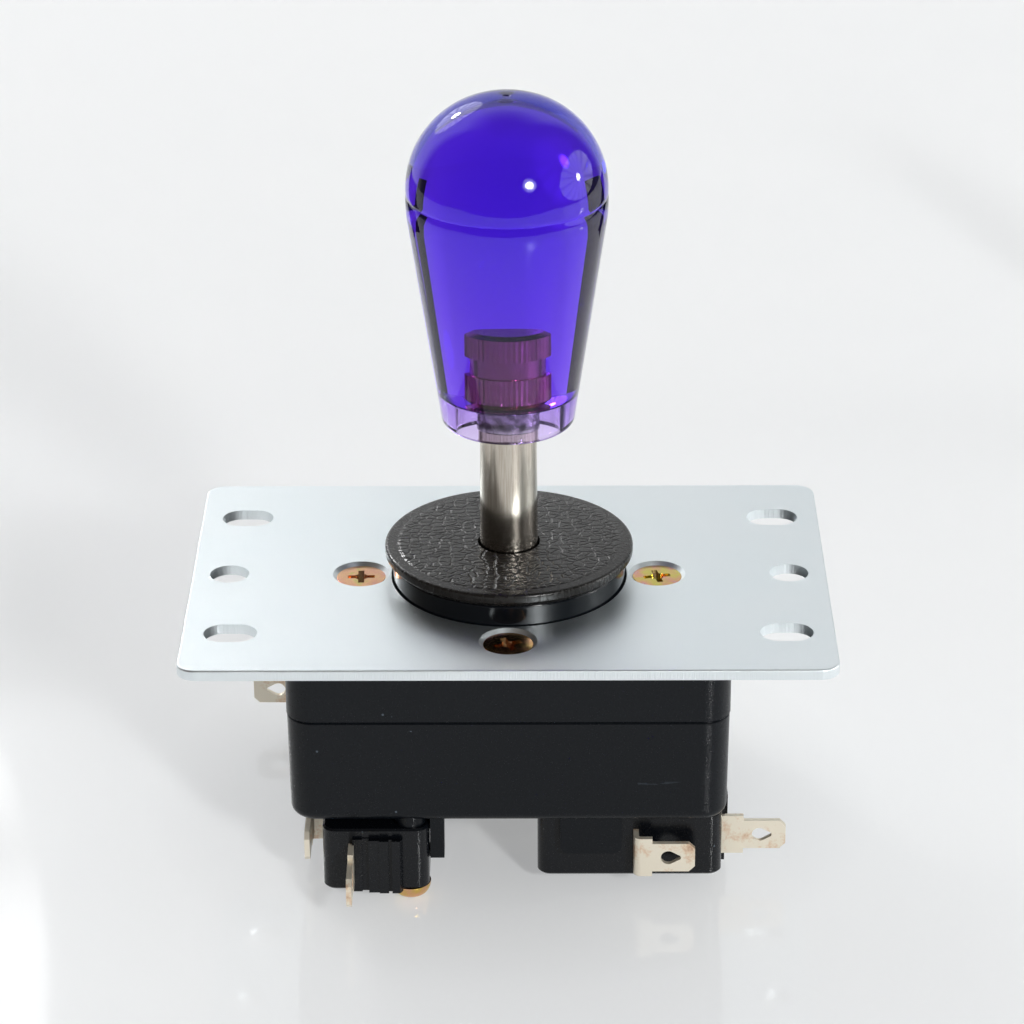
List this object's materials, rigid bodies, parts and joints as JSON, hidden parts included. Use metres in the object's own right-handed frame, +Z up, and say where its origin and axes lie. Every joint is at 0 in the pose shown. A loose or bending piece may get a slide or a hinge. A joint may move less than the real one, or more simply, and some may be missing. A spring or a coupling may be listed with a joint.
{
  "type": "arcade joystick lever",
  "caption": "Arcade joystick lever with a clear bat knob, floating dust washer, steel mounting plate and lever microswitches in a pinwheel below the housing.",
  "frame": {"origin": "centre of the mounting plate's top face", "axes": "+Z up towards the knob, +X along the plate's long side, -Y towards the player"},
  "size_m": [0.0974, 0.0838, 0.1166],
  "materials": {
    "zinc_plate": "bright zinc plate, satin",
    "yellow_zinc": "yellow zinc plate",
    "black_abs": "black moulded, semi-gloss",
    "switch_black": "black moulded, glossy",
    "washer_black": "leather grain, glossy",
    "rubber": "soft silicone",
    "nylon": "natural nylon",
    "gate_plastic": "moulded",
    "plated_steel": "nickel plate, polished",
    "spring_steel": "bare spring steel",
    "tinned_brass": "tinned, spotted with oxide",
    "knurled_brass": "turned and knurled",
    "violet_acrylic": "clear violet acrylic, polished",
    "plunger_plastic": "moulded"
  },
  "bodies": {
    "root": {"collar": "black_abs", "end_terminal_back": "tinned_brass", "end_terminal_front": "tinned_brass", "end_terminal_left": "tinned_brass", "end_terminal_right": "tinned_brass", "lower_housing": "black_abs", "mounting_plate": "zinc_plate", "plate_screw_back": "yellow_zinc", "plate_screw_front": "yellow_zinc", "plate_screw_left": "yellow_zinc", "plate_screw_right": "yellow_zinc", "restrictor_gate": "gate_plastic", "side_terminal_back": "tinned_brass", "side_terminal_front": "tinned_brass", "side_terminal_left": "tinned_brass", "side_terminal_right": "tinned_brass", "snap_blade_back": "tinned_brass", "snap_blade_front": "tinned_brass", "snap_blade_left": "tinned_brass", "snap_blade_right": "tinned_brass", "switch_base_back": "switch_black", "switch_base_front": "switch_black", "switch_base_left": "switch_black", "switch_base_right": "switch_black", "switch_cover_back": "switch_black", "switch_cover_front": "switch_black", "switch_cover_left": "switch_black", "switch_cover_right": "switch_black", "switch_screw_back": "yellow_zinc", "switch_screw_front": "yellow_zinc", "switch_screw_left": "yellow_zinc", "switch_screw_right": "yellow_zinc", "top_cover": "black_abs"},
    "rubber_mount": {"tension_grommet": "rubber"},
    "stick": {"pivot_bushing": "nylon", "spacer_tube": "plated_steel", "actuator": "nylon", "retaining_clip": "spring_steel", "shaft": "plated_steel", "knob_insert": "knurled_brass", "bat_knob": "violet_acrylic"},
    "lower_washer": {"lower_dust_washer": "washer_black"},
    "washer": {"dust_washer": "washer_black"},
    "lever_front": {"switch_lever_front": "spring_steel"},
    "plunger_front": {"plunger_front": "plunger_plastic"},
    "lever_right": {"switch_lever_right": "spring_steel"},
    "plunger_right": {"plunger_right": "plunger_plastic"},
    "lever_back": {"switch_lever_back": "spring_steel"},
    "plunger_back": {"plunger_back": "plunger_plastic"},
    "lever_left": {"switch_lever_left": "spring_steel"},
    "plunger_left": {"plunger_left": "plunger_plastic"}
  },
  "joints": [
    {"name": "tilt_x", "type": "hinge", "parent": "root", "child": "rubber_mount", "pos_m": [0, 0, -0.01], "axis": [1, 0, 0], "range_deg": [-8, 8], "stiffness_Nm_per_rad": 0.9, "deforming": ["tension_grommet"]},
    {"name": "tilt_y", "type": "hinge", "parent": "rubber_mount", "child": "stick", "pos_m": [0, 0, -0.01], "axis": [0, 1, 0], "range_deg": [-8, 8], "stiffness_Nm_per_rad": 0.9},
    {"name": "washer_slide_y", "type": "slide", "parent": "root", "child": "lower_washer", "axis": [0, 1, 0], "range_m": [-0.00212, 0.00212]},
    {"name": "washer_slide_x", "type": "slide", "parent": "lower_washer", "child": "washer", "axis": [1, 0, 0], "range_m": [-0.00212, 0.00212]},
    {"name": "lever_pivot_front", "type": "hinge", "parent": "root", "child": "lever_front", "pos_m": [0.0248, -0.0112, -0.032], "axis": [0, 0, 1], "range_deg": [-7.08, 7.08]},
    {"name": "plunger_slide_front", "type": "slide", "parent": "root", "child": "plunger_front", "axis": [0, -1, 0], "range_m": [-0.00135, 0.00135]},
    {"name": "lever_pivot_right", "type": "hinge", "parent": "root", "child": "lever_right", "pos_m": [0.0112, 0.0248, -0.032], "axis": [0, 0, 1], "range_deg": [-7.08, 7.08]},
    {"name": "plunger_slide_right", "type": "slide", "parent": "root", "child": "plunger_right", "axis": [1, 0, 0], "range_m": [-0.00135, 0.00135]},
    {"name": "lever_pivot_back", "type": "hinge", "parent": "root", "child": "lever_back", "pos_m": [-0.0248, 0.0112, -0.032], "axis": [0, 0, 1], "range_deg": [-7.08, 7.08]},
    {"name": "plunger_slide_back", "type": "slide", "parent": "root", "child": "plunger_back", "axis": [0, 1, 0], "range_m": [-0.00135, 0.00135]},
    {"name": "lever_pivot_left", "type": "hinge", "parent": "root", "child": "lever_left", "pos_m": [-0.0112, -0.0248, -0.032], "axis": [0, 0, 1], "range_deg": [-7.08, 7.08]},
    {"name": "plunger_slide_left", "type": "slide", "parent": "root", "child": "plunger_left", "axis": [-1, 0, 0], "range_m": [-0.00135, 0.00135]}
  ],
  "couplings": [
    {"joint": "washer_slide_y", "follows": "tilt_x", "m_per_rad": -0.015199},
    {"joint": "washer_slide_x", "follows": "tilt_y", "m_per_rad": 0.015199},
    {"joint": "lever_pivot_front", "follows": "tilt_x", "ratio": -0.8825},
    {"joint": "plunger_slide_front", "follows": "tilt_x", "m_per_rad": -0.0096687},
    {"joint": "lever_pivot_right", "follows": "tilt_y", "ratio": -0.8825},
    {"joint": "plunger_slide_right", "follows": "tilt_y", "m_per_rad": -0.0096687},
    {"joint": "lever_pivot_back", "follows": "tilt_x", "ratio": 0.8825},
    {"joint": "plunger_slide_back", "follows": "tilt_x", "m_per_rad": 0.0096687},
    {"joint": "lever_pivot_left", "follows": "tilt_y", "ratio": 0.8825},
    {"joint": "plunger_slide_left", "follows": "tilt_y", "m_per_rad": 0.0096687}
  ]
}
